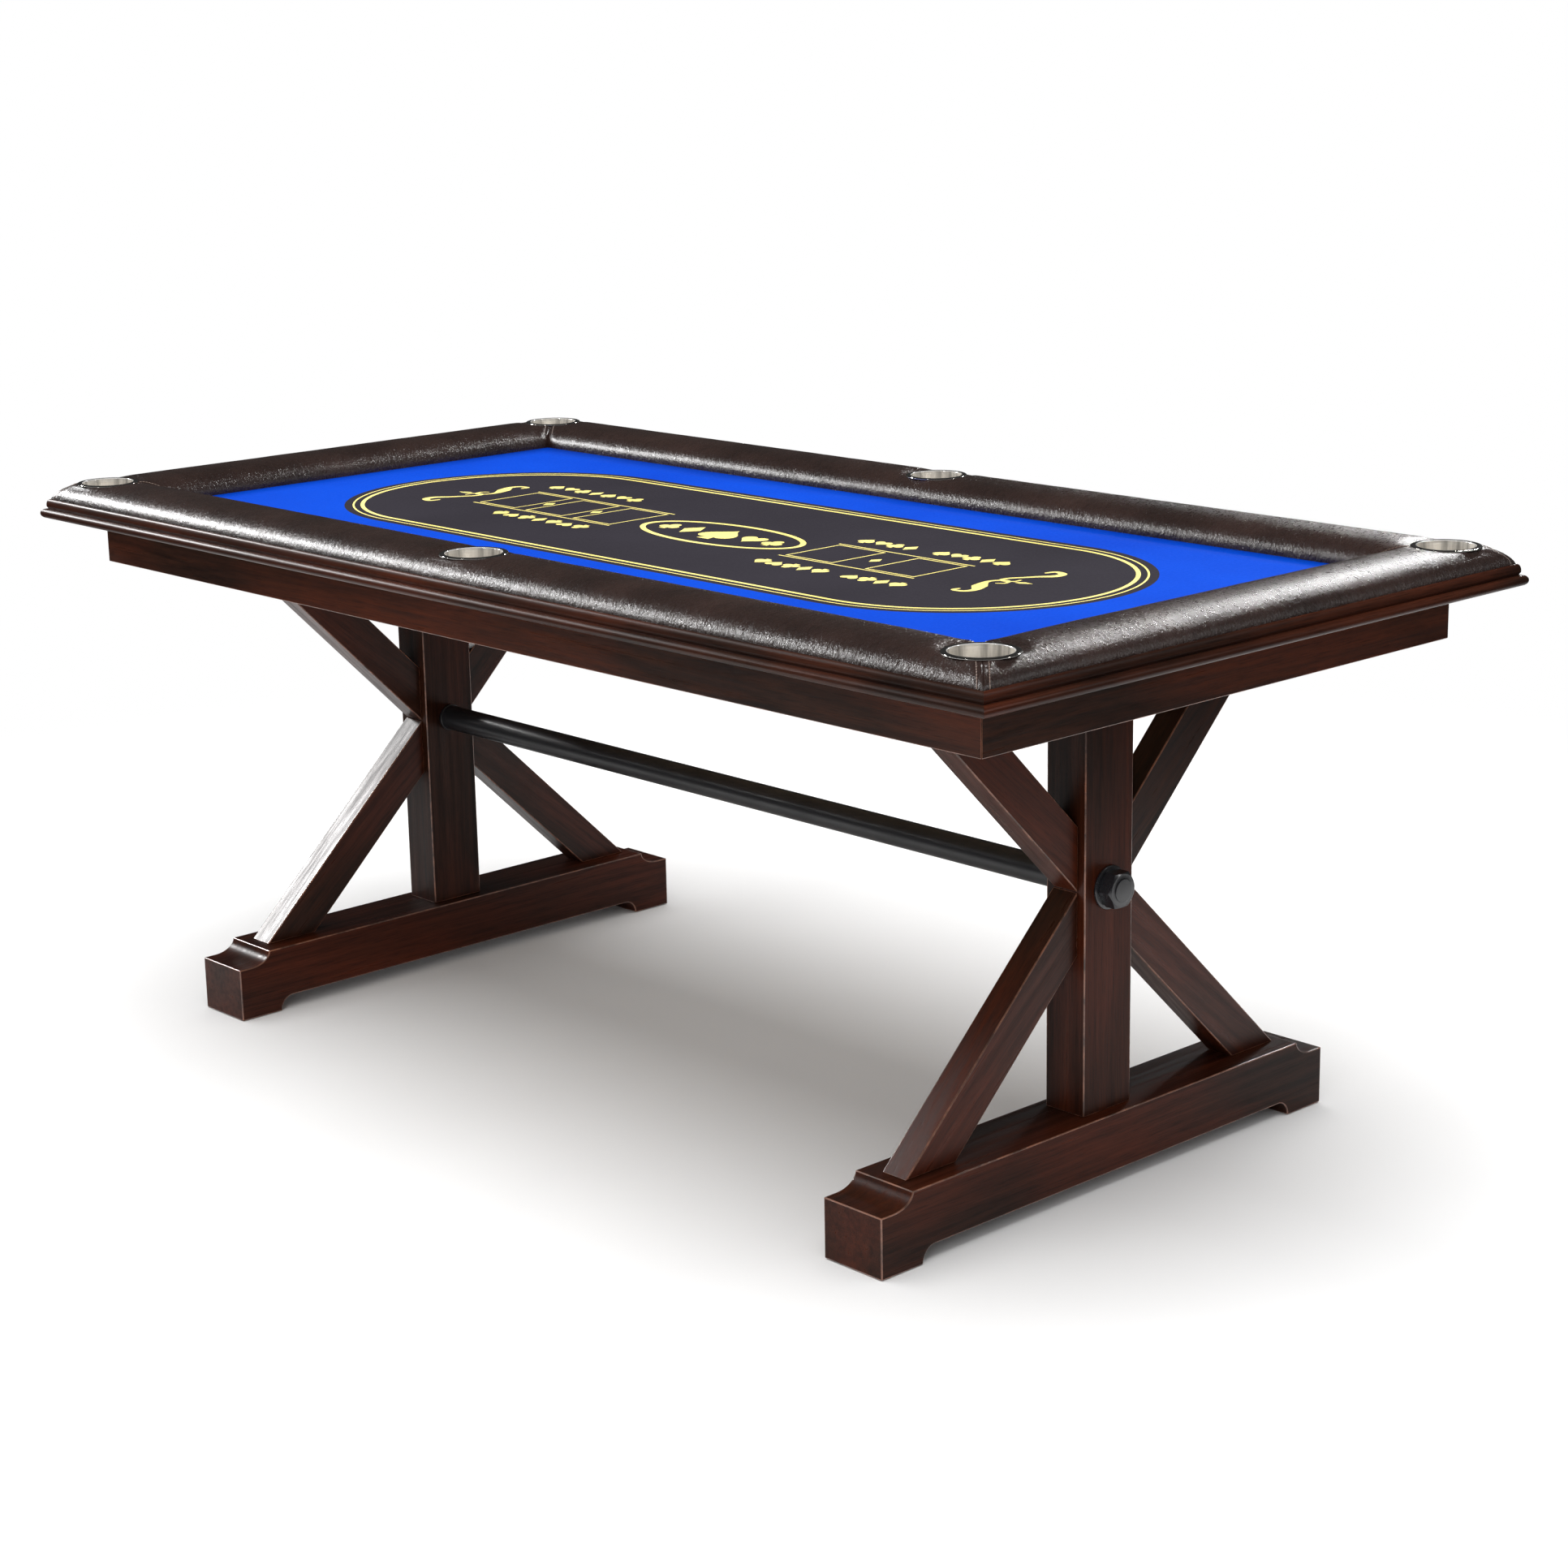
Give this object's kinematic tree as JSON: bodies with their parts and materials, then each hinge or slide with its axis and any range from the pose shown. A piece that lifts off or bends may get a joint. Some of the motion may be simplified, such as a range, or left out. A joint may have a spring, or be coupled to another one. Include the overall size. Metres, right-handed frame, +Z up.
{
  "type": "poker table",
  "caption": "Rectangular poker table with a printed cloth playfield, padded leather rail with drop-in cups, stepped moulding, and two X-braced trestles joined by a steel stretcher.",
  "frame": {"origin": "on the floor, under the middle of the table", "axes": "+X along the table's length, +Z up, -Y the front long side"},
  "size_m": [1.86, 0.96, 0.762],
  "materials": {
    "cloth": "royal blue speed cloth with a charcoal racetrack and gold line print",
    "leather": "dark brown grained faux leather, soft gloss",
    "wood": "dark espresso stained hardwood, satin lacquer with reddish rubbed edges",
    "cup_steel": "stainless steel, polished flange and brushed inside",
    "black_steel": "black powder coat, satin",
    "board": "raw medium-density board and softwood, unfinished",
    "underlay": "off-white foam underlay, matt",
    "glide": "black nylon glide"
  },
  "bodies": {
    "root": {"playfield_board": "board", "foam_underlay": "underlay", "playing_cloth": "cloth", "rail_core_front": "board", "rail_core_back": "board", "rail_core_left": "board", "rail_core_right": "board", "rail_pad_front": "leather", "rail_pad_back": "leather", "rail_pad_left": "leather", "rail_pad_right": "leather", "moulding_front": "wood", "moulding_back": "wood", "moulding_left": "wood", "moulding_right": "wood", "apron_front": "wood", "apron_back": "wood", "apron_left": "wood", "apron_right": "wood", "corner_block_left_front": "board", "corner_block_right_front": "board", "corner_block_left_back": "board", "corner_block_right_back": "board", "cross_rail_left": "board", "cross_rail_right": "board", "left_foot_beam": "wood", "left_post": "wood", "left_top_bearer": "wood", "left_lower_brace_front": "wood", "left_lower_brace_back": "wood", "left_upper_brace_front": "wood", "left_upper_brace_back": "wood", "left_glide_front": "glide", "left_glide_back": "glide", "left_bearer_bolt_front": "black_steel", "left_bearer_bolt_back": "black_steel", "left_washer": "black_steel", "left_cap_nut": "black_steel", "right_foot_beam": "wood", "right_post": "wood", "right_top_bearer": "wood", "right_lower_brace_front": "wood", "right_lower_brace_back": "wood", "right_upper_brace_front": "wood", "right_upper_brace_back": "wood", "right_glide_front": "glide", "right_glide_back": "glide", "right_bearer_bolt_front": "black_steel", "right_bearer_bolt_back": "black_steel", "right_washer": "black_steel", "right_cap_nut": "black_steel", "stretcher_tube": "black_steel", "tie_rod": "black_steel"},
    "cup_front_body": {"cup_front": "cup_steel"},
    "cup_back_body": {"cup_back": "cup_steel"},
    "cup_left_front_body": {"cup_left_front": "cup_steel"},
    "cup_right_front_body": {"cup_right_front": "cup_steel"},
    "cup_left_back_body": {"cup_left_back": "cup_steel"},
    "cup_right_back_body": {"cup_right_back": "cup_steel"}
  },
  "joints": [
    {"name": "cup_front_lift", "type": "slide", "parent": "root", "child": "cup_front_body", "axis": [0, 0, 1], "range_m": [0, 0.09]},
    {"name": "cup_back_lift", "type": "slide", "parent": "root", "child": "cup_back_body", "axis": [0, 0, 1], "range_m": [0, 0.09]},
    {"name": "cup_left_front_lift", "type": "slide", "parent": "root", "child": "cup_left_front_body", "axis": [0, 0, 1], "range_m": [0, 0.09]},
    {"name": "cup_right_front_lift", "type": "slide", "parent": "root", "child": "cup_right_front_body", "axis": [0, 0, 1], "range_m": [0, 0.09]},
    {"name": "cup_left_back_lift", "type": "slide", "parent": "root", "child": "cup_left_back_body", "axis": [0, 0, 1], "range_m": [0, 0.09]},
    {"name": "cup_right_back_lift", "type": "slide", "parent": "root", "child": "cup_right_back_body", "axis": [0, 0, 1], "range_m": [0, 0.09]}
  ]
}
